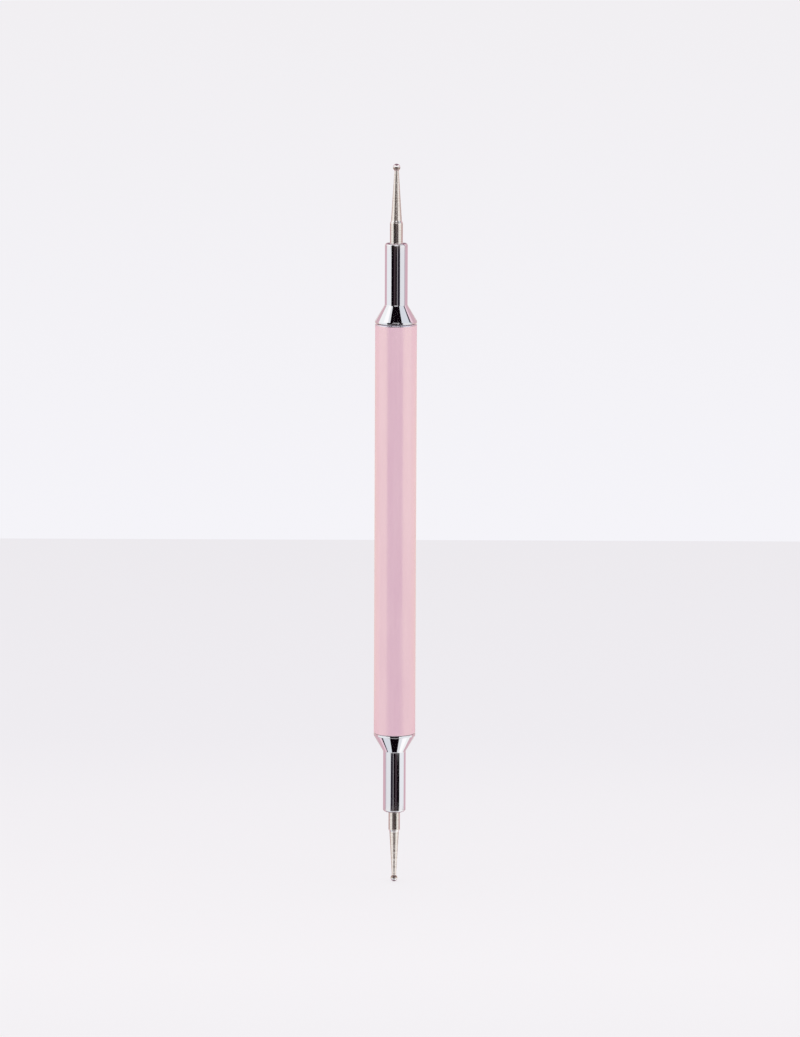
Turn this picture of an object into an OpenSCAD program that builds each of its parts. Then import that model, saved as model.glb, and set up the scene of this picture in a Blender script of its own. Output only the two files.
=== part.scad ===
// Double-ended embossing stylus: a lacquered tube handle, a plated ferrule in each end,
// and in each ferrule a turned steel stem with a small ball on its tip.
// The pen stands along Z with its larger ball up, and the origin is the middle of the handle.

/* [Handle] */
// Outside diameter of the handle tube
tube_d = 8.0; // [7:0.1:12]
// Length of the handle tube
tube_l = 79.6; // [50:0.2:110]
// Wall of the handle tube
tube_wall = 0.75; // [0.6:0.05:1]
// Rounded outer edge at each end of the tube
tube_edge_r = 0.25; // [0.1:0.05:0.25]
// Chamfer round each mouth of the tube's bore
tube_mouth_c = 0.15; // [0.05:0.05:0.15]

/* [Ferrules] */
// Thickness of the rim at the end of the tube
rim_t = 0.4; // [0.35:0.05:1.2]
// Rounded edge of the rim on the tube's side
rim_edge_r = 0.1; // [0.05:0.05:0.4]
// Rounding where the cone meets the rim
brow_r = 0.15; // [0.1:0.05:0.5]
// Length of the cone
cone_l = 3.1; // [2:0.1:6]
// Hollow fillet where the cone meets the neck
throat_r = 0.3; // [0.2:0.1:1]
// Diameter of the neck
neck_d = 4.35; // [4:0.05:5.5]
// Length of the neck
neck_l = 11.85; // [8:0.05:16]
// Rounded edge at the end of the neck
neck_edge_r = 0.4; // [0.1:0.05:0.4]
// Length of the spigot inside the tube
spigot_l = 8.0; // [8:0.5:14]
// Lead-in chamfer on the spigot
spigot_lead_c = 0.4; // [0.2:0.1:0.8]
// Length of the glue groove round the spigot
spigot_groove_l = 3.0; // [1:0.5:4]
// Depth of the glue groove round the spigot
spigot_groove_t = 0.25; // [0.1:0.05:0.4]
// Distance from the rim to the spigot's glue groove
spigot_groove_at = 2.0; // [1:0.25:3]
// Gap that is left between the upper ferrule's rim and the tube's end
upper_stand_off = 0.1; // [0:0.05:0.3]

/* [Upper stem and ball] */
// Diameter of the upper stem's shank
upper_shank_d = 2.45; // [2.1:0.05:2.6]
// Length of the shank that shows above the ferrule
upper_shoulder_l = 3.9; // [2:0.05:8]
// Length of the sloping step at the end of the shank
upper_step_l = 0.4; // [0.1:0.05:0.8]
// Diameter at the foot of the taper
upper_taper_d = 2.05; // [1.4:0.05:2.1]
// Diameter at the tip of the taper, under the ball
upper_tip_d = 0.82; // [0.5:0.02:1.1]
// Distance from the ferrule's end to the middle of the ball
upper_reach = 14.5; // [10:0.05:20]
// Diameter of the upper ball
upper_ball_d = 1.4; // [1.2:0.1:3]

/* [Lower stem and ball] */
// Diameter of the lower stem's shank
lower_shank_d = 2.2; // [1.9:0.05:2.6]
// Length of the shank that shows below the ferrule
lower_shoulder_l = 3.6; // [2:0.05:8]
// Length of the sloping step at the end of the shank
lower_step_l = 0.4; // [0.1:0.05:0.8]
// Diameter at the foot of the taper
lower_taper_d = 1.8; // [1.3:0.05:1.9]
// Diameter at the tip of the taper, at the ball
lower_tip_d = 0.82; // [0.5:0.02:1.1]
// Distance from the ferrule's end to the middle of the ball
lower_reach = 13.2; // [9:0.05:20]
// Diameter of the lower ball
lower_ball_d = 1.3; // [1.2:0.1:3]

/* [Stem sockets] */
// Depth of the blind hole that holds each shank
socket_l = 12.5; // [8:0.5:15]
// Chamfer round the mouth of the hole
socket_mouth_c = 0.1; // [0.05:0.05:0.2]
// Chamfer on the foot of each shank
shank_foot_c = 0.2; // [0.1:0.05:0.4]
// Length of the glue groove round each shank
shank_groove_l = 3.0; // [1:0.5:4]
// Depth of the glue groove round each shank
shank_groove_t = 0.2; // [0.1:0.05:0.3]
// Distance from the foot of the shank to its glue groove
shank_groove_at = 2.5; // [1:0.5:3.5]

/* [Fits] */
// Radial clearance of the spigot in the tube
spigot_fit = 0.03; // [0.01:0.01:0.08]
// Radial clearance of the shank in its hole
shank_fit = 0.02; // [0.01:0.01:0.05]

/* [Hidden] */
$fn = 96;

lacquer_pink = [0.87, 0.72, 0.77];
plated_chrome = [0.88, 0.88, 0.90];
turned_steel = [0.72, 0.69, 0.66];
polished_steel = [0.84, 0.83, 0.82];
cured_glue = [0.80, 0.74, 0.55];

tube_r = tube_d / 2;
bore_r = tube_r - tube_wall;
rim_r = tube_r;                 // the rim is flush with the handle
neck_r = neck_d / 2;
spigot_r = bore_r - spigot_fit;
cone_foot = rim_t;              // heights along a ferrule, from its seat outwards
cone_top = cone_foot + cone_l;
neck_end = cone_top + neck_l;
upper_seat = tube_l / 2 + upper_stand_off;
lower_seat = tube_l / 2;
upper_ferrule_end = upper_seat + neck_end;
lower_ferrule_end = lower_seat + neck_end;

// Stands what is drawn outwards from height 0 at height z of the upper end, or of the lower end
module at_upper_end(z) translate([0, 0, z]) children();
module at_lower_end(z) rotate([180, 0, 0]) at_upper_end(z) children();

// A corner at p whose edges leave it along the unit vectors a and b is rounded by an arc: how far
// from the corner the arc begins, and where its middle lies
function arc_run(a, b, r) = r / tan(acos(a * b) / 2);
function arc_middle(p, a, b, r) = p + (a + b) / norm(a + b) * r / sin(acos(a * b) / 2);

// The sliver between an outer corner and the arc that rounds it, to be cut away
module corner_sliver(p, a, b, r) {
    difference() {
        polygon([p, p + arc_run(a, b, r) * a, arc_middle(p, a, b, r), p + arc_run(a, b, r) * b]);
        translate(arc_middle(p, a, b, r)) circle(r);
    }
}

module handle_tube() {
    half = tube_l / 2;
    color(lacquer_pink) rotate_extrude() difference() {
        translate([bore_r, -half]) square([tube_wall, tube_l]);
        for (up = [-1, 1]) {
            corner_sliver([tube_r, up * half], [-1, 0], [0, -up], tube_edge_r);
            polygon([
                [bore_r, up * half],
                [bore_r + tube_mouth_c, up * half],
                [bore_r, up * (half - tube_mouth_c)],
            ]);
        }
    }
}

// Half section of a ferrule, with the underside of its rim at height 0 and its neck pointing up
module ferrule_section(shank_d) {
    hole_r = shank_d / 2 + shank_fit;
    groove_end = -spigot_groove_at;
    up = [0, 1];
    slope = [neck_r - rim_r, cone_l] / norm([neck_r - rim_r, cone_l]);
    throat = [neck_r, cone_top];
    throat_run = arc_run(up, -slope, throat_r);
    throat_middle = arc_middle(throat, up, -slope, throat_r);
    difference() {
        polygon([
            [0, -spigot_l],
            [spigot_r - spigot_lead_c, -spigot_l],
            [spigot_r, spigot_lead_c - spigot_l],
            [spigot_r, groove_end - spigot_groove_l],
            [spigot_r - spigot_groove_t, groove_end - spigot_groove_l],
            [spigot_r - spigot_groove_t, groove_end],
            [spigot_r, groove_end],
            [spigot_r, 0],
            [rim_r, 0],
            [rim_r, cone_foot],
            throat - throat_run * slope,
            throat_middle,
            throat + throat_run * up,
            [neck_r, neck_end],
            [0, neck_end],
        ]);
        translate(throat_middle) circle(throat_r);
        corner_sliver([rim_r, 0], [-1, 0], up, min(rim_edge_r, rim_t - arc_run(-up, slope, brow_r)));
        corner_sliver([rim_r, cone_foot], -up, slope, brow_r);
        corner_sliver([neck_r, neck_end], [-1, 0], -up, neck_edge_r);
        polygon([
            [0, neck_end - socket_l],
            [hole_r, neck_end - socket_l],
            [hole_r, neck_end - socket_mouth_c],
            [hole_r + socket_mouth_c, neck_end],
            [0, neck_end],
        ]);
    }
}

module upper_ferrule() {
    color(plated_chrome) at_upper_end(upper_seat) rotate_extrude() ferrule_section(upper_shank_d);
}

module lower_ferrule() {
    color(plated_chrome) at_lower_end(lower_seat) rotate_extrude() ferrule_section(lower_shank_d);
}

// Ring of cured glue that fills a groove, from the groove's floor out to the wall round it
module glue_ring(floor_r, wall_r, from, length) {
    color(cured_glue) rotate_extrude() translate([floor_r, from]) square([wall_r - floor_r, length]);
}

module spigot_glue() {
    glue_ring(spigot_r - spigot_groove_t, bore_r, -spigot_groove_at - spigot_groove_l, spigot_groove_l);
}

module upper_spigot_glue() { at_upper_end(upper_seat) spigot_glue(); }

module lower_spigot_glue() { at_lower_end(lower_seat) spigot_glue(); }

// How far under the middle of a ball its weld flat lies
function flat_drop(ball_d, tip_d) = sqrt(pow(ball_d / 2, 2) - pow(tip_d / 2, 2));

// Turned stem, with the ferrule's end at height 0 and its tip pointing up
module stem(shank_d, shoulder_l, step_l, taper_d, tip_d, tip_at) {
    shank_r = shank_d / 2;
    groove_foot = shank_groove_at - socket_l;
    color(turned_steel) rotate_extrude() polygon([
        [0, -socket_l],
        [shank_r - shank_foot_c, -socket_l],
        [shank_r, shank_foot_c - socket_l],
        [shank_r, groove_foot],
        [shank_r - shank_groove_t, groove_foot],
        [shank_r - shank_groove_t, groove_foot + shank_groove_l],
        [shank_r, groove_foot + shank_groove_l],
        [shank_r, shoulder_l],
        [taper_d / 2, shoulder_l + step_l],
        [tip_d / 2, tip_at],
        [0, tip_at],
    ]);
}

module upper_stem() {
    at_upper_end(upper_ferrule_end) stem(
        upper_shank_d, upper_shoulder_l, upper_step_l, upper_taper_d, upper_tip_d,
        upper_reach - flat_drop(upper_ball_d, upper_tip_d)
    );
}

module lower_stem() {
    at_lower_end(lower_ferrule_end) stem(
        lower_shank_d, lower_shoulder_l, lower_step_l, lower_taper_d, lower_tip_d,
        lower_reach - flat_drop(lower_ball_d, lower_tip_d)
    );
}

module stem_glue(shank_d) {
    glue_ring(
        shank_d / 2 - shank_groove_t, shank_d / 2 + shank_fit, shank_groove_at - socket_l, shank_groove_l
    );
}

module upper_stem_glue() { at_upper_end(upper_ferrule_end) stem_glue(upper_shank_d); }

module lower_stem_glue() { at_lower_end(lower_ferrule_end) stem_glue(lower_shank_d); }

// Ball about height 0, with the weld flat under it that seats on the stem's tip
module ball(ball_d, tip_d) {
    drop = flat_drop(ball_d, tip_d);
    color(polished_steel) rotate_extrude() intersection() {
        circle(d = ball_d);
        translate([0, -drop]) square([ball_d, drop + ball_d]);
    }
}

module upper_ball() { at_upper_end(upper_ferrule_end + upper_reach) ball(upper_ball_d, upper_tip_d); }

module lower_ball() { at_lower_end(lower_ferrule_end + lower_reach) ball(lower_ball_d, lower_tip_d); }

handle_tube();
upper_ferrule();
lower_ferrule();
upper_spigot_glue();
lower_spigot_glue();
upper_stem();
lower_stem();
upper_stem_glue();
lower_stem_glue();
upper_ball();
lower_ball();
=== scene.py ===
import random
from math import atan2, cos, hypot, pi, radians, sin, sqrt, tan

import bmesh
import bpy
from mathutils import Matrix, Quaternion, Vector


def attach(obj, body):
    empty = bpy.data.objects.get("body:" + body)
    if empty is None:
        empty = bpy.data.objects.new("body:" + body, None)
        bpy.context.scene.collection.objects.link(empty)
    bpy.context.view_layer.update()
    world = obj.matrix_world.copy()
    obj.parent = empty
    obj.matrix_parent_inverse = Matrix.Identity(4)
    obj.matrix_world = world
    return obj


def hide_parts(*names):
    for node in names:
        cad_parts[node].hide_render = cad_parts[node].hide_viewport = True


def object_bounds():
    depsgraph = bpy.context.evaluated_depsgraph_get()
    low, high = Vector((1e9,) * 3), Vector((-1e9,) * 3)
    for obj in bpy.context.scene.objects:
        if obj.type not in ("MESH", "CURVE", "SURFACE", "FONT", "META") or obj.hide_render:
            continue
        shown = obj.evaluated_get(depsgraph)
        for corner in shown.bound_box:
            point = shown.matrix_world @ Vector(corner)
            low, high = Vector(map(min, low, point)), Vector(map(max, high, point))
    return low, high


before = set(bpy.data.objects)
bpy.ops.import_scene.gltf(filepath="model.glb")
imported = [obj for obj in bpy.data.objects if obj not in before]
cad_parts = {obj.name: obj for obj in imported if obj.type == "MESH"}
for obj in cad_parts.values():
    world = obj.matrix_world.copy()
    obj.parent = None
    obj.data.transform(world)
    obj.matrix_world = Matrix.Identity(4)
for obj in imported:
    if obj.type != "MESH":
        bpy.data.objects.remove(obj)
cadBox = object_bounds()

mm = 0.001
near = 0.004        # millimetres within which a vertex counts as on a ring
merge = 1e-7        # metres within which two vertices become one
sharpAngle = 35     # degrees from which an edge stays sharp
noiseSpan = (0.3, 0.7)      # what a noise texture mostly keeps between
scene = bpy.context.scene
scene.view_settings.view_transform = "Standard"

# The camera looks along +Y and a little down, from far enough to be nearly parallel.
camera = {
    "distance": 1200,
    "elevation": 8.5,
    "lens": 216.65, "sensor": 36,
    "aim": (0.90, 0, 2.08),     # the pen stands a little left of and below the middle
    "roll": 0.225,
    "clip": (50, 20000),
}


def onSphere(azimuth, elevation, distance):
    # azimuth 0 is on -Y, the camera's side, and 90 on +X
    a, e = radians(azimuth), radians(elevation)
    return Vector((sin(a) * cos(e), -cos(a) * cos(e), sin(e))) * distance


def makeCamera(spec):
    data = bpy.data.cameras.new("camera")
    data.lens = spec["lens"]
    data.sensor_width = spec["sensor"]
    data.clip_start, data.clip_end = [reach * mm for reach in spec["clip"]]
    holder = bpy.data.objects.new("camera", data)
    scene.collection.objects.link(holder)
    eye = onSphere(0, spec["elevation"], spec["distance"] * mm)
    aim = Vector(spec["aim"]) * mm
    holder.location = eye
    holder.rotation_mode = "QUATERNION"
    turn = Quaternion((0, 0, 1), radians(spec["roll"]))
    holder.rotation_quaternion = (aim - eye).to_track_quat("-Z", "Y") @ turn
    scene.camera = holder


makeCamera(camera)
print("camera ready")


def newTree(name):
    material = bpy.data.materials.new(name)
    material.use_nodes = True
    material.node_tree.nodes.clear()
    return material, material.node_tree


def addNode(tree, kind, inputs=None, **settings):
    # an input that is a socket is linked, and any other is a plain value
    node = tree.nodes.new(kind)
    for key, value in settings.items():
        setattr(node, key, value)
    for key, value in (inputs or {}).items():
        if isinstance(value, bpy.types.NodeSocket):
            tree.links.new(value, node.inputs[key])
        else:
            node.inputs[key].default_value = value
    return node


def addRamp(tree, factor, stops):
    ramp = addNode(tree, "ShaderNodeValToRGB", {"Fac": factor})
    elements = ramp.color_ramp.elements
    while len(elements) < len(stops):
        elements.new(0.5)
    for element, (position, colour) in zip(elements, stops):
        element.position = position
        element.color = (*colour, 1)
    return ramp.outputs["Color"]


def addNoise(tree, coords, scale, detail=2.0, roughness=0.5, stretch=(1, 1, 1)):
    mapped = addNode(
        tree, "ShaderNodeMapping", {"Vector": coords, "Scale": stretch}
    )
    noise = addNode(
        tree, "ShaderNodeTexNoise",
        {"Vector": mapped.outputs["Vector"], "Scale": scale, "Detail": detail,
         "Roughness": roughness},
    )
    return noise.outputs["Fac"]


def addRange(tree, value, low, high, toLow, toHigh):
    node = addNode(
        tree, "ShaderNodeMapRange",
        {"Value": value, "From Min": low, "From Max": high, "To Min": toLow, "To Max": toHigh},
    )
    return node.outputs["Result"]


def addBump(tree, height, distance):
    # distance is in metres
    node = addNode(
        tree, "ShaderNodeBump", {"Height": height, "Distance": distance, "Strength": 1.0}
    )
    return node.outputs["Normal"]


def objectCoords(tree):
    return addNode(tree, "ShaderNodeTexCoord").outputs["Object"]


def closeTree(tree, shader):
    addNode(tree, "ShaderNodeOutputMaterial", {"Surface": shader})


lacquer = {
    "pink": (0.865, 0.578, 0.680),
    "rose": (0.840, 0.550, 0.658),
    "cloudSize": 5.0, "cloudStretch": (1, 1, 0.45),
    "streakSize": 1.2, "streakStretch": (1, 1, 0.06),
    "blendRange": (0.75, 1.25),     # of the clouds and streaks together, from rose to pink
    "sheen": (1.0, 1.0, 0.55),      # colour of the pearl's gloss
    "ior": 1.75,
    "roughness": (0.20, 0.27),
    "peelSize": 0.35,
    "peelDepth": 0.0006,
    "bare": (0.85, 0.80, 0.90),     # the metal that shows where the lacquer stops
    "bareRoughness": (0.22, 0.30),
    "stops": {"upper": 39.45, "lower": -39.68},
    "inside": 3.5,                  # radius within which the tube's ends and bore are bare
    "fade": 0.06,                   # how far the lacquer thins out before it stops
}


def makeLacquer(spec):
    material, tree = newTree("pearlLacquer")
    coords = objectCoords(tree)
    clouds = addNoise(tree, coords, 1 / (spec["cloudSize"] * mm), 3, 0.55, spec["cloudStretch"])
    streaks = addNoise(
        tree, coords, 1 / (spec["streakSize"] * mm), 2, 0.5, spec["streakStretch"]
    )
    blend = addNode(
        tree, "ShaderNodeMath", {0: clouds, 1: streaks}, operation="ADD"
    ).outputs[0]
    colour = addRamp(
        tree, addRange(tree, blend, *spec["blendRange"], 0, 1),
        [(0.0, spec["rose"]), (1.0, spec["pink"])],
    )
    peel = addNoise(tree, coords, 1 / (spec["peelSize"] * mm), 2)
    coat = addNode(
        tree, "ShaderNodeBsdfPrincipled",
        {"Base Color": colour, "IOR": spec["ior"], "Specular IOR Level": 1.0,
         "Specular Tint": (*spec["sheen"], 1),
         "Roughness": addRange(tree, clouds, *noiseSpan, *spec["roughness"]),
         "Normal": addBump(tree, peel, spec["peelDepth"] * mm)},
    )
    metal = addNode(
        tree, "ShaderNodeBsdfPrincipled",
        {"Base Color": (*spec["bare"], 1), "Metallic": 1.0,
         "Roughness": addRange(tree, clouds, *noiseSpan, *spec["bareRoughness"])},
    )
    height = addNode(tree, "ShaderNodeSeparateXYZ", {"Vector": coords}).outputs["Z"]
    across = addNode(
        tree, "ShaderNodeVectorMath", {0: coords, 1: (1, 1, 0)}, operation="MULTIPLY"
    ).outputs["Vector"]
    radius = addNode(
        tree, "ShaderNodeVectorMath", {0: across}, operation="LENGTH"
    ).outputs["Value"]
    upper, lower, inside = spec["stops"]["upper"], spec["stops"]["lower"], spec["inside"]
    fade = spec["fade"]
    bare = addRange(tree, height, upper * mm, (upper + fade) * mm, 0, 1)
    for edge in (
        addRange(tree, height, lower * mm, (lower - fade) * mm, 0, 1),
        addRange(tree, radius, inside * mm, (inside - fade) * mm, 0, 1),
    ):
        bare = addNode(tree, "ShaderNodeMath", {0: bare, 1: edge}, operation="MAXIMUM").outputs[0]
    mixed = addNode(
        tree, "ShaderNodeMixShader", {0: bare, 1: coat.outputs[0], 2: metal.outputs[0]}
    )
    closeTree(tree, mixed.outputs[0])
    return material


chrome = {
    "colour": (0.92, 0.92, 0.94),
    "roughness": (0.03, 0.05),
    "hazeSize": 3.0,
    "rippleSize": 0.9,
    "rippleDepth": 0.0002,
}


def makeChrome(spec):
    material, tree = newTree("chromePlate")
    coords = objectCoords(tree)
    haze = addNoise(tree, coords, 1 / (spec["hazeSize"] * mm), 3)
    ripple = addNoise(tree, coords, 1 / (spec["rippleSize"] * mm), 2)
    shader = addNode(
        tree, "ShaderNodeBsdfPrincipled",
        {"Base Color": (*spec["colour"], 1), "Metallic": 1.0,
         "Roughness": addRange(tree, haze, *noiseSpan, *spec["roughness"]),
         "Normal": addBump(tree, ripple, spec["rippleDepth"] * mm)},
    )
    closeTree(tree, shader.outputs[0])
    return material


steel = {
    "land": (0.93, 0.90, 0.87),     # top of the turning marks
    "cut": (0.80, 0.73, 0.67),      # bottom of the turning marks
    "roughness": (0.13, 0.20),
    "fineSize": 0.09,
    "fineDepth": 0.0001,
    "fineTone": 0.12,               # how far the finest marks shift the tone either way
}


def makeSteel(spec):
    material, tree = newTree("turnedSteel")
    coords = objectCoords(tree)
    height = addNode(tree, "ShaderNodeSeparateXYZ", {"Vector": coords}).outputs["Z"]
    cut = addNode(
        tree, "ShaderNodeAttribute", attribute_type="GEOMETRY", attribute_name="cut"
    ).outputs["Fac"]
    fine = addNode(
        tree, "ShaderNodeTexNoise",
        {"W": height, "Scale": 1 / (spec["fineSize"] * mm), "Detail": 3.0},
        noise_dimensions="1D",
    ).outputs["Fac"]
    tone = addNode(
        tree, "ShaderNodeMath",
        {0: cut, 1: addRange(tree, fine, *noiseSpan, -spec["fineTone"], spec["fineTone"])},
        operation="ADD",
    ).outputs[0]
    colour = addRamp(tree, tone, [(0.0, spec["land"]), (1.0, spec["cut"])])
    shader = addNode(
        tree, "ShaderNodeBsdfPrincipled",
        {"Base Color": colour, "Metallic": 1.0,
         "Roughness": addRange(tree, tone, 0, 1, *spec["roughness"]),
         "Normal": addBump(tree, fine, spec["fineDepth"] * mm)},
    )
    closeTree(tree, shader.outputs[0])
    return material


ballSteel = {
    "bright": (0.93, 0.91, 0.91),
    "paintedDark": (0.38, 0.29, 0.26),   # painted shade: dark reflection on the ball's half towards the weld
    "paintedFading": (0.66, 0.56, 0.54),    # where the painted shade fades again beside it
    # how far towards the stem from the ball's middle the painted shade rises and fades
    "upper": (-0.06, 0.06, 0.28, 0.46), "lower": (0.10, 0.20, 0.45, 0.60),
    "roughness": (0.05, 0.09),
    "grainSize": 0.25,
}


def makeBallSteel(spec, end, centre, out):
    # out is 1 where the ball is on top of its stem and -1 where it hangs under it
    material, tree = newTree(end + "BallSteel")
    coords = objectCoords(tree)
    height = addNode(tree, "ShaderNodeSeparateXYZ", {"Vector": coords}).outputs["Z"]
    start, full, turn, stop = spec[end]
    # painted shade: the ball's colour darkens in a band towards its stem
    paintedShade = addRange(
        tree, height, (centre - start * out) * mm, (centre - stop * out) * mm, 0, 1,
    )
    stops = [
        (0.0, spec["bright"]), ((full - start) / (stop - start), spec["paintedDark"]),
        ((turn - start) / (stop - start), spec["paintedDark"]), (1.0, spec["paintedFading"]),
    ]
    grain = addNoise(tree, coords, 1 / (spec["grainSize"] * mm), 3)
    shader = addNode(
        tree, "ShaderNodeBsdfPrincipled",
        {"Base Color": addRamp(tree, paintedShade, stops),
         "Metallic": 1.0,
         "Roughness": addRange(tree, grain, *noiseSpan, *spec["roughness"])},
    )
    closeTree(tree, shader.outputs[0])
    return material


glue = {
    "amber": (0.62, 0.50, 0.24), "cloudy": (0.70, 0.62, 0.40), "cloudSize": 0.8,
    "roughness": 0.22, "rippleDepth": 0.02, "ior": 1.52,
}


def makeGlue(spec):
    material, tree = newTree("curedGlue")
    coords = objectCoords(tree)
    cloud = addNoise(tree, coords, 1 / (spec["cloudSize"] * mm), 3)
    shader = addNode(
        tree, "ShaderNodeBsdfPrincipled",
        {"Base Color": addRamp(tree, cloud, [(0.35, spec["amber"]), (0.65, spec["cloudy"])]),
         "Roughness": spec["roughness"], "IOR": spec["ior"],
         "Normal": addBump(tree, cloud, spec["rippleDepth"] * mm)},
    )
    closeTree(tree, shader.outputs[0])
    return material


def spinProfile(points, steps):
    # a half section of (radius, height) points, turned about the pen's axis
    bm = bmesh.new()
    verts = [bm.verts.new((radius * mm, 0, height * mm)) for radius, height in points]
    pairs = list(zip(verts, verts[1:]))
    if points[0][0] > 0:            # a ring's section closes on itself, not on the axis
        pairs.append((verts[-1], verts[0]))
    edges = [bm.edges.new(pair) for pair in pairs]
    bmesh.ops.spin(
        bm, geom=verts + edges, axis=(0, 0, 1), cent=(0, 0, 0),
        angle=2 * pi, steps=steps, use_merge=True,
    )
    bmesh.ops.remove_doubles(bm, verts=bm.verts, dist=merge)
    bmesh.ops.recalc_face_normals(bm, faces=bm.faces)
    return bm


def onRing(vert, radius, height):
    return (
        abs(hypot(vert.co.x, vert.co.y) / mm - radius) < near
        and abs(vert.co.z / mm - height) < near
    )


def roundRing(bm, radius, height, run, segments):
    # run is how far from the corner the rounding begins
    edges = [e for e in bm.edges if all(onRing(v, radius, height) for v in e.verts)]
    bmesh.ops.bevel(
        bm, geom=edges, offset=run * mm, offset_type="OFFSET", segments=segments,
        profile=0.5, affect="EDGES", material=-1,
    )


def turnOver(bm):
    bmesh.ops.rotate(
        bm, verts=bm.verts, cent=(0, 0, 0), matrix=Matrix.Rotation(pi, 3, "X")
    )


def finishPiece(bm, name, material, node):
    for face in bm.faces:
        face.smooth = True
    for edge in bm.edges:
        if len(edge.link_faces) == 2:
            edge.smooth = edge.calc_face_angle() < radians(sharpAngle)
    mesh = bpy.data.meshes.new(name)
    bm.to_mesh(mesh)
    bm.free()
    mesh.materials.append(material)
    piece = bpy.data.objects.new(name, mesh)
    scene.collection.objects.link(piece)
    even = piece.modifiers.new("evenNormals", "WEIGHTED_NORMAL")
    even.keep_sharp = True
    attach(piece, "root")
    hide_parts(node)
    print(name, "done,", len(mesh.polygons), "faces")


handle = {
    "radius": 4.0, "bore": 3.25, "length": 79.6,
    "edge": 0.25,       # rounded outer edge at each end
    "mouth": 0.15,      # chamfer round each end of the bore
    "steps": 192,
}


def makeHandle(spec, material):
    half = spec["length"] / 2
    bm = spinProfile([
        (spec["bore"], -half), (spec["radius"], -half),
        (spec["radius"], half), (spec["bore"], half),
    ], spec["steps"])
    for height in (-half, half):
        roundRing(bm, spec["radius"], height, spec["edge"], segments=6)
        roundRing(bm, spec["bore"], height, spec["mouth"], segments=1)
    finishPiece(bm, "lacqueredHandle", material, "handle_tube")


ferrule = {
    "upper": 39.9, "lower": 39.8,   # seats; the upper rim stands a hair off the tube's end
    "rimRadius": 4.0, "rimThickness": 0.4, "rimEdge": {"upper": 0.1, "lower": 0.04},
    "hold": 0.02,                   # from a rounded edge of the rim to the ring beside it
    "browRadius": 0.15, "coneLength": 3.1, "throatRadius": 0.3,
    "neckRadius": 2.175, "neckLength": 11.85, "neckEdge": 0.4,
    "spigotRadius": 3.22, "spigotLength": 8.0, "spigotLead": 0.4,
    "grooveAt": 2.0, "grooveLength": 3.0, "grooveDepth": 0.25,
    "socketDepth": 12.5, "socketMouth": 0.1, "socketPlay": 0.02,
    "steps": 192,
}


def makeFerrule(spec, material, end, shankRadius):
    seat = spec[end]
    coneFoot = seat + spec["rimThickness"]
    coneTop = coneFoot + spec["coneLength"]
    neckEnd = coneTop + spec["neckLength"]
    hole = shankRadius + spec["socketPlay"]
    floor = spec["spigotRadius"] - spec["grooveDepth"]
    grooveTop = seat - spec["grooveAt"]
    grooveFoot = grooveTop - spec["grooveLength"]
    spigotFoot = seat - spec["spigotLength"]
    lean = atan2(spec["rimRadius"] - spec["neckRadius"], spec["coneLength"])
    brow = spec["browRadius"] * tan(lean / 2)
    throat = spec["throatRadius"] * tan(lean / 2)
    bm = spinProfile([
        (0, spigotFoot),
        (spec["spigotRadius"] - spec["spigotLead"], spigotFoot),
        (spec["spigotRadius"], spigotFoot + spec["spigotLead"]),
        (spec["spigotRadius"], grooveFoot),
        (floor, grooveFoot),
        (floor, grooveTop),
        (spec["spigotRadius"], grooveTop),
        (spec["spigotRadius"], seat),
        (spec["rimRadius"], seat),
        # two rings that keep the rim's face straight right up to its rounded edges
        (spec["rimRadius"], seat + spec["rimEdge"][end] + spec["hold"]),
        (spec["rimRadius"], coneFoot - brow - spec["hold"]),
        (spec["rimRadius"], coneFoot),
        (spec["neckRadius"], coneTop),
        (spec["neckRadius"], neckEnd),
        (hole + spec["socketMouth"], neckEnd),
        (hole, neckEnd - spec["socketMouth"]),
        (hole, neckEnd - spec["socketDepth"]),
        (0, neckEnd - spec["socketDepth"]),
    ], spec["steps"])
    roundRing(bm, spec["rimRadius"], seat, spec["rimEdge"][end], segments=5)
    roundRing(bm, spec["rimRadius"], coneFoot, brow, segments=4)
    roundRing(bm, spec["neckRadius"], coneTop, throat, segments=5)
    roundRing(bm, spec["neckRadius"], neckEnd, spec["neckEdge"], segments=8)
    if end == "lower":
        turnOver(bm)
    finishPiece(
        bm, end + "FerrulePlated", material, end + "_ferrule"
    )


stems = {
    "upper": {
        "ferruleEnd": 55.25, "shank": 1.225, "shoulder": 3.9, "step": 0.4, "taperFoot": 1.025,
        "tip": 0.41, "reach": 14.5, "ball": 0.7, "seed": 4,
    },
    "lower": {
        "ferruleEnd": 55.15, "shank": 1.1, "shoulder": 3.6, "step": 0.4, "taperFoot": 0.9,
        "tip": 0.41, "reach": 13.2, "ball": 0.65, "seed": 9,
    },
    "socket": 12.5, "footChamfer": 0.2,
    "grooveAt": 2.5, "grooveLength": 3.0, "grooveDepth": 0.2,
    "ringPitch": 0.22,          # from a land to the next cut
    "ringDepth": (0.0003, 0.0012),
    "cutShare": (0.35, 1), "landShare": (0, 0.3),       # how strongly each is marked
    "ringWander": 0.3,          # how far a ring strays, as a share of the pitch
    "shankDepth": 1 / 6,        # how deep the shank's marks are against the taper's
    "stepEdge": 0.05,
    "hold": 0.05,               # a plain band above the step, before the taper's first mark
    "steps": 128,
}


def flatDrop(part):
    # how far under the ball's middle the weld flat lies
    return sqrt(part["ball"] ** 2 - part["tip"] ** 2)


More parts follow.
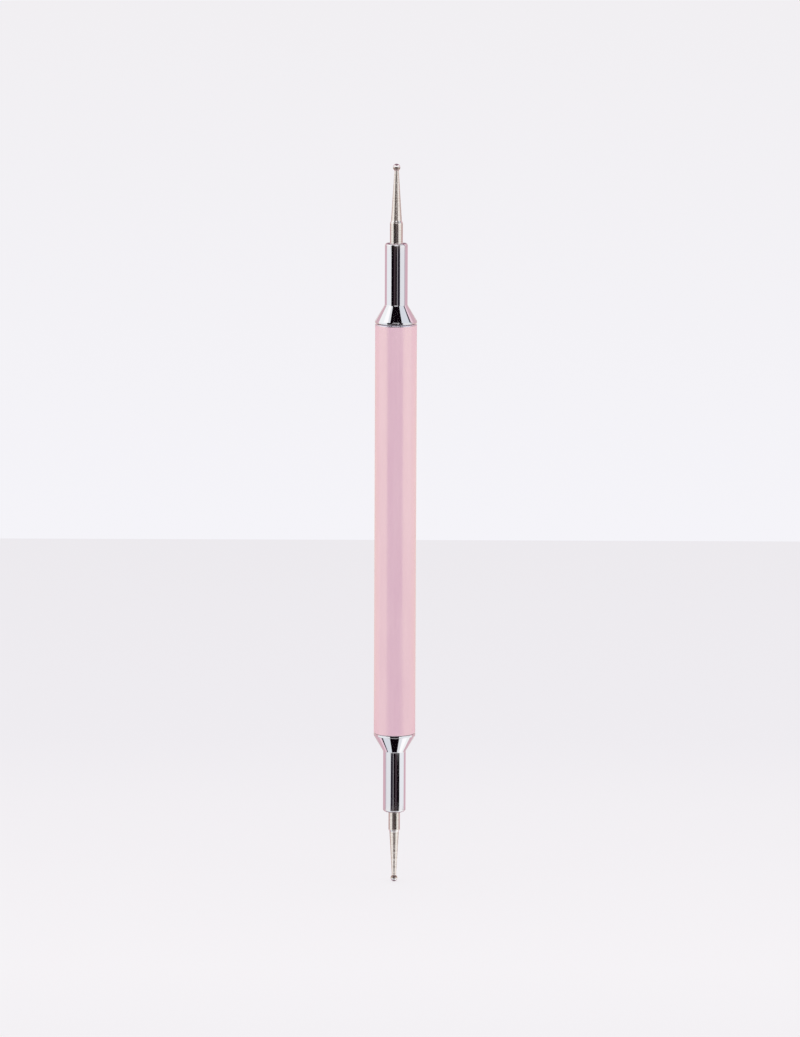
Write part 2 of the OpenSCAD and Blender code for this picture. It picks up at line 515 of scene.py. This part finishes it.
def cutRings(bm, low, high, spec, scale, chance):
    # the lathe's marks: the long faces are divided, and every other ring is pulled inwards
    def spans(edge):
        heights = sorted(v.co.z / mm for v in edge.verts)
        return abs(heights[0] - low) < near and abs(heights[1] - high) < near
    pitch, wander = spec["ringPitch"], spec["ringWander"]
    shallow, deep = [depth * scale for depth in spec["ringDepth"]]
    cuts = int((high - low) / pitch) - 1
    layer = bm.verts.layers.float["cut"]
    bmesh.ops.subdivide_edges(
        bm, edges=[e for e in bm.edges if spans(e)], cuts=cuts, use_grid_fill=True
    )
    rings = {}
    for vert in bm.verts:
        height = vert.co.z / mm
        if low + near < height < high - near:
            rings.setdefault(round((height - low) / (high - low) * (cuts + 1)), []).append(vert)
    for index in sorted(rings):
        share = chance.uniform(*spec["cutShare" if index % 2 else "landShare"])
        ring = rings[index]
        radius = hypot(ring[0].co.x, ring[0].co.y) / mm
        shrink = 1 - (shallow + (deep - shallow) * share) * share / radius
        bmesh.ops.scale(bm, vec=(shrink, shrink, 1), verts=ring)
        bmesh.ops.translate(
            bm, vec=(0, 0, chance.uniform(-wander, wander) * pitch * mm), verts=ring
        )
        for vert in ring:
            vert[layer] = share


def makeStem(spec, material, end):
    part = spec[end]
    chance = random.Random(part["seed"])
    foot = part["ferruleEnd"] - spec["socket"]
    grooveFoot = foot + spec["grooveAt"]
    grooveTop = grooveFoot + spec["grooveLength"]
    floor = part["shank"] - spec["grooveDepth"]
    shoulderEnd = part["ferruleEnd"] + part["shoulder"]
    taperFoot = shoulderEnd + part["step"]
    tipAt = part["ferruleEnd"] + part["reach"] - flatDrop(part)
    bandEnd = taperFoot + spec["hold"]
    share = spec["hold"] / (tipAt - taperFoot)
    bandRadius = part["taperFoot"] + (part["tip"] - part["taperFoot"]) * share
    bm = spinProfile([
        (0, foot),
        (part["shank"] - spec["footChamfer"], foot),
        (part["shank"], foot + spec["footChamfer"]),
        (part["shank"], grooveFoot),
        (floor, grooveFoot),
        (floor, grooveTop),
        (part["shank"], grooveTop),
        (part["shank"], shoulderEnd),
        (part["taperFoot"], taperFoot),
        (bandRadius, bandEnd),
        (part["tip"], tipAt),
        (0, tipAt),
    ], spec["steps"])
    bm.verts.layers.float.new("cut")
    cutRings(bm, bandEnd, tipAt, spec, 1, chance)
    cutRings(bm, grooveTop, shoulderEnd, spec, spec["shankDepth"], chance)
    roundRing(bm, part["shank"], shoulderEnd, spec["stepEdge"], segments=2)
    if end == "lower":
        turnOver(bm)
    finishPiece(bm, end + "StemTurned", material, end + "_stem")


weld = {
    "bead": 0.025, "height": 0.12,
    "swell": 0.4, "narrow": 0.6,        # shares of the height in which the bead does so
    "ballSegments": 96,
}


def makeBall(spec, beadSpec, material, end):
    part = spec[end]
    drop = flatDrop(part)
    bm = bmesh.new()
    bmesh.ops.create_uvsphere(
        bm, u_segments=beadSpec["ballSegments"], v_segments=beadSpec["ballSegments"] // 2,
        radius=part["ball"] * mm,
    )
    cut = bmesh.ops.bisect_plane(
        bm, geom=bm.verts[:] + bm.edges[:] + bm.faces[:], dist=1e-8,
        plane_co=(0, 0, -drop * mm), plane_no=(0, 0, -1), clear_outer=True,
    )
    # the weld's small bead, between the ball and the stem's tip
    rim = [e for e in cut["geom_cut"] if isinstance(e, bmesh.types.BMEdge)]
    bead = 1 + beadSpec["bead"] / part["tip"]
    for grow, sink in ((bead, beadSpec["swell"]), (1 / bead, beadSpec["narrow"])):
        ring = bmesh.ops.extrude_edge_only(bm, edges=rim)["geom"]
        verts = [v for v in ring if isinstance(v, bmesh.types.BMVert)]
        rim = [e for e in ring if isinstance(e, bmesh.types.BMEdge)]
        rim = [e for e in rim if all(v in verts for v in e.verts)]
        bmesh.ops.scale(bm, vec=(grow, grow, 1), verts=verts)
        bmesh.ops.translate(bm, vec=(0, 0, -sink * beadSpec["height"] * mm), verts=verts)
    bmesh.ops.edgeloop_fill(bm, edges=rim)
    bmesh.ops.recalc_face_normals(bm, faces=bm.faces)
    centre = part["ferruleEnd"] + part["reach"]
    bmesh.ops.translate(bm, vec=(0, 0, centre * mm), verts=bm.verts)
    if end == "lower":
        turnOver(bm)
    finishPiece(bm, end + "BallPolished", material, end + "_ball")


makeHandle(handle, makeLacquer(lacquer))
chromePlate = makeChrome(chrome)
turnedSteel = makeSteel(steel)
for end, out in (("upper", 1), ("lower", -1)):
    makeFerrule(ferrule, chromePlate, end, stems[end]["shank"])
    makeStem(stems, turnedSteel, end)
    centre = (stems[end]["ferruleEnd"] + stems[end]["reach"]) * out
    polish = makeBallSteel(ballSteel, end, centre, out)
    makeBall(stems, weld, polish, end)

# The glue inside keeps its CAD solids and gets a finish of its own.
curedGlue = makeGlue(glue)
for name in ("upper_spigot_glue", "lower_spigot_glue", "upper_stem_glue", "lower_stem_glue"):
    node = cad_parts[name]
    node.data.materials.clear()
    node.data.materials.append(curedGlue)
print("glue rings finished")


# Colours of the plain studio as the camera sees it, and its light.
studio = {
    "wallLow": (0.913, 0.905, 0.947), "wallHigh": (0.880, 0.863, 0.888),
    "wallRange": (-0.150, -0.064),  # the slopes of view between which the wall changes
    "floor": [                  # from its far edge to in front of the pen, with painted light that makes it lighter towards the pen
        (0.0, (0.862, 0.844, 0.864)), (0.32, (0.872, 0.855, 0.877)), (0.45, (0.876, 0.859, 0.881)),
        (0.57, (0.902, 0.884, 0.900)), (0.81, (0.929, 0.911, 0.923)), (1.0, (0.888, 0.874, 0.890)),
    ],
    "floorHalf": 442.5, "floorFront": 200,
    "floorGlow": 0.7,           # share of the floor's own colour; the rest shows the shadow
    "ambient": (0.90, 0.89, 0.94),
}


def paleRays(tree):
    # 1 for what the camera sees, straight on or in metal and glass
    rays = addNode(tree, "ShaderNodeLightPath").outputs
    both = addNode(
        tree, "ShaderNodeMath", {0: rays["Is Camera Ray"], 1: rays["Is Glossy Ray"]},
        operation="ADD",
    ).outputs[0]
    return addNode(
        tree, "ShaderNodeMath", {0: both, 1: rays["Is Transmission Ray"]}, operation="ADD"
    ).outputs[0]


def makeWorld(spec):
    world = bpy.data.worlds.new("paleStudio")
    scene.world = world
    world.use_nodes = True
    tree = world.node_tree
    tree.nodes.clear()
    direction = addNode(tree, "ShaderNodeTexCoord").outputs["Generated"]
    height = addNode(tree, "ShaderNodeSeparateXYZ", {"Vector": direction}).outputs["Z"]
    wall = addRamp(
        tree, addRange(tree, height, *spec["wallRange"], 0, 1),
        [(0.0, spec["wallLow"]), (1.0, spec["wallHigh"])],
    )
    seen = addNode(tree, "ShaderNodeBackground", {"Color": wall, "Strength": 1.0})
    lit = addNode(
        tree, "ShaderNodeBackground", {"Color": (*spec["ambient"], 1), "Strength": 1.0}
    )
    mixed = addNode(
        tree, "ShaderNodeMixShader", {0: paleRays(tree), 1: lit.outputs[0], 2: seen.outputs[0]}
    )
    addNode(tree, "ShaderNodeOutputWorld", {"Surface": mixed.outputs[0]})


def makeFloor(spec):
    material, tree = newTree("paleFloor")
    coords = objectCoords(tree)
    depth = addNode(tree, "ShaderNodeSeparateXYZ", {"Vector": coords}).outputs["Y"]
    # painted light: the glowing floor is darker at its far edge and lighter in front of the pen
    colour = addRamp(
        tree, addRange(tree, depth, spec["floorHalf"] * mm, -spec["floorFront"] * mm, 0, 1),
        spec["floor"],
    )
    matt = addNode(tree, "ShaderNodeBsdfDiffuse", {"Color": colour})
    pale = addNode(tree, "ShaderNodeEmission", {"Color": colour, "Strength": 1.0})
    share = addNode(
        tree, "ShaderNodeMath", {0: paleRays(tree), 1: spec["floorGlow"]},
        operation="MULTIPLY",
    ).outputs[0]
    above = addNode(
        tree, "ShaderNodeMixShader", {0: share, 1: matt.outputs[0], 2: pale.outputs[0]}
    )
    # seen from below the floor is clear, so that it never hides the pen
    under = addNode(tree, "ShaderNodeNewGeometry").outputs["Backfacing"]
    clear = addNode(tree, "ShaderNodeBsdfTransparent")
    both = addNode(
        tree, "ShaderNodeMixShader", {0: under, 1: above.outputs[0], 2: clear.outputs[0]}
    )
    closeTree(tree, both.outputs[0])
    bm = bmesh.new()
    bmesh.ops.create_grid(bm, x_segments=1, y_segments=1, size=spec["floorHalf"] * mm)
    bmesh.ops.translate(bm, vec=(0, 0, cadBox[0].z), verts=bm.verts)
    mesh = bpy.data.meshes.new("floor")
    bm.to_mesh(mesh)
    bm.free()
    mesh.materials.append(material)
    floor = bpy.data.objects.new("floor", mesh)
    scene.collection.objects.link(floor)
    floor.visible_glossy = False        # the cards that the lower end mirrors reach below it


# Soft lamps light the lacquer from both sides. They show in no reflection.
lamps = {
    "leftLamp": {"azimuth": -62, "elevation": 10, "watts": 1.0, "colour": (1, 0.95, 0.9)},
    "rightLamp": {"azimuth": 62, "elevation": 10, "watts": 1.0, "colour": (1, 0.95, 0.9)},
    "distance": 900, "width": 500, "height": 900,
}


def makeLamp(spec, name):
    data = bpy.data.lights.new(name, "AREA")
    data.shape = "RECTANGLE"
    data.size, data.size_y = spec["width"] * mm, spec["height"] * mm
    data.energy = spec[name]["watts"]
    data.color = spec[name]["colour"]
    lamp = bpy.data.objects.new(name, data)
    scene.collection.objects.link(lamp)
    place = onSphere(spec[name]["azimuth"], spec[name]["elevation"], spec["distance"] * mm)
    lamp.location = place
    lamp.rotation_euler = (-place).to_track_quat("-Z", "Y").to_euler()
    lamp.visible_camera = False
    lamp.visible_glossy = False


# Upright cards round the pen, which show only as reflections in it. Azimuths go from the
# camera's side towards +X. The lower end has much the same set as the upper one, turned end for
# end. The middle set shows in the lacquer, and the small one above the pen in the upper ball.
cards = {
    "radius": {"upper": 400, "middle": 400, "lower": 400, "upperTip": 20},
    "step": 0.1,        # each card of a set stands this much nearer than the one before
    "paper": (0.93, 0.95, 0.95), "cloud": (0.85, 0.87, 0.90),
    "haze": (0.79, 0.80, 0.83), "mist": (0.72, 0.75, 0.80), "lilac": (0.56, 0.50, 0.55),
    "rose": (0.85, 0.63, 0.71), "pink": (0.66, 0.44, 0.50), "slit": (0.34, 0.32, 0.34),
    "maroon": (0.050, 0.034, 0.042), "dusk": (0.022, 0.018, 0.030), "black": (0.003, 0.001, 0.003),
    "glare": (1.06, 1.05, 1.05), "cream": (0.95, 0.92, 0.90), "tan": (0.50, 0.37, 0.36),
    "umber": (0.13, 0.10, 0.095), "plum": (0.12, 0.08, 0.10),
    "wine": (0.20, 0.11, 0.15), "mauve": (0.38, 0.23, 0.29),
    "soot": (0.03, 0.022, 0.018), "ash": (0.14, 0.12, 0.11), "bark": (0.20, 0.17, 0.165),
    "fawn": (0.66, 0.56, 0.55), "sand": (0.84, 0.78, 0.75),
    "highVeil": (0.98, 1.04, 0.92), "midVeil": (0.87, 0.90, 0.78),
    "lowVeil": (0.66, 0.67, 0.55), "deepVeil": (0.44, 0.45, 0.35), "peach": (0.84, 0.72, 0.50),
    # from and to azimuth, then lowest and highest edge
    "upper": [
        # for the rim and the neck
        ("cloud", -110, -51, -12, 14.2), ("haze", 39, 88, -12, 14.2),
        ("black", -51, 39, -12, 14.2), ("maroon", -24, -7, -12, 14.2),
        ("slit", 8.5, 14.5, -12, 14.2), ("dusk", 16, 39, -12, 14.2),
        ("lilac", 88, 102, -12, 14.2), ("pink", 102, 250, -12, 14.2),
        # for the shank, then for the taper
        ("cream", -112, 112, 14.2, 50), ("soot", -58, -8, 14.2, 50),
        ("umber", -8, 37, 14.2, 50), ("tan", 97, 252, 14.2, 50),
        ("cream", -125, 88, 50, 95), ("ash", -50, -8, 50, 95), ("bark", -8, 30, 50, 95),
        ("fawn", 84, 160, 50, 95), ("sand", 160, 235, 50, 95),
        # for the cone, the step and the end of the neck
        ("mauve", 35, 323, 400, 9000),
        ("black", -37, 35, 488, 9000), ("haze", -56, -37, 400, 580),
        ("glare", -85, -56, 95, 530), ("paper", -119, -85, 95, 430),
        ("mist", 35, 91, 95, 580), ("dusk", 91, 101, 95, 400), ("rose", 101, 116, 95, 400),
        ("pink", 116, 241, 95, 400), ("plum", 130, 230, 400, 9000), ("wine", 172, 188, 87, 600),
        ("black", -50, -20, 95, 400), ("black", 20, 42, 95, 400),
        ("black", -40, -20, 400, 490), ("black", 20, 40, 400, 490),
    ],
    "middle": [
        ("highVeil", -95, 95, -34, -12), ("midVeil", -95, 95, -60, -34),
        ("lowVeil", -95, 95, -86, -60), ("deepVeil", -95, 95, -109, -86),
        ("peach", 95, 265, -109, -12), ("black", -46, 40, -109, -12),
    ],
    "lower": [
        # for the rim, then for the neck
        ("cloud", -112, 112, -115.7, -109), ("black", -25, 25, -115.7, -109),
        ("pink", 103, 248, -115.7, -109),
        ("cloud", -112, -54, -133.1, -115.7), ("haze", 38, 92, -133.1, -115.7),
        ("black", -54, 38, -133.1, -115.7), ("maroon", -27, -8, -133.1, -115.7),
        ("slit", 9, 14.5, -133.1, -115.7), ("dusk", 15, 38, -133.1, -115.7),
        ("lilac", 92, 103, -133.1, -115.7), ("pink", 103, 248, -133.1, -115.7),
        # for the shank, then for the taper
        ("cream", -112, 112, -165, -133.1), ("soot", -48, -8, -165, -133.1),
        ("umber", -8, 43, -165, -133.1), ("tan", 98, 270, -165, -133.1),
        ("cream", -140, 120, -212, -165), ("ash", -36, -8, -212, -165),
        ("bark", -8, 34, -212, -165), ("fawn", 100, 180, -212, -165),
        ("sand", 180, 220, -212, -165),
        # for the cone, the step and the end of the neck
        ("mauve", 42, 317, -9000, -700),
        ("black", -43, 42, -9000, -880), ("haze", -71, -43, -1100, -700),
        ("glare", -100, -71, -900, -212), ("paper", -121, -100, -700, -212),
        ("mist", 42, 95, -1100, -212), ("dusk", 95, 105, -700, -212),
        ("rose", 105, 121, -700, -212), ("pink", 121, 239, -450, -212),
        ("plum", 121, 250, -9000, -450), ("wine", 172, 188, -700, -136),
        ("plum", -20, 20, -700, -450),
        ("black", -50, -20, -700, -500), ("black", 20, 50, -700, -500),
        ("black", -43, -20, -885, -700), ("black", 20, 42, -885, -700),
    ],
    "upperTip": [
        ("bark", -75, 75, 70.7, 76.5), ("glare", -110, 110, 76.5, 99),
        ("wine", -48, 48, 99, 1200), ("wine", 130, 230, 106, 1200),
    ],
}


def makeCard(spec, name, tone, start, stop, low, high, radius):
    material, tree = newTree(name)
    glow = addNode(tree, "ShaderNodeEmission", {"Color": (*spec[tone], 1), "Strength": 1.0})
    closeTree(tree, glow.outputs[0])
    material.cycles.emission_sampling = "NONE"
    bm = bmesh.new()
    foot = onSphere(start, 0, radius * mm)
    ends = [bm.verts.new(foot + Vector((0, 0, height * mm))) for height in (low, high)]
    edge = bm.edges.new(ends)
    bmesh.ops.spin(
        bm, geom=ends + [edge], axis=(0, 0, 1), cent=(0, 0, 0),
        angle=radians(stop - start), steps=max(1, round(stop - start)),
    )
    mesh = bpy.data.meshes.new(name)
    bm.to_mesh(mesh)
    bm.free()
    mesh.materials.append(material)
    card = bpy.data.objects.new(name, mesh)
    scene.collection.objects.link(card)
    card.visible_camera = False
    card.visible_diffuse = False
    card.visible_transmission = False
    card.visible_shadow = False


def makeCards(spec):
    for place, side in (("upper", 1), ("middle", 1), ("lower", -1), ("upperTip", 1)):
        for index, (tone, start, stop, low, high) in enumerate(spec[place]):
            if side < 0:
                start, stop = -stop, -start
            radius = spec["radius"][place] - spec["step"] * index
            makeCard(spec, f"{place}Card{index}", tone, start, stop, low, high, radius)


makeWorld(studio)
makeFloor(studio)
makeLamp(lamps, "leftLamp")
makeLamp(lamps, "rightLamp")
makeCards(cards)
print("studio ready")
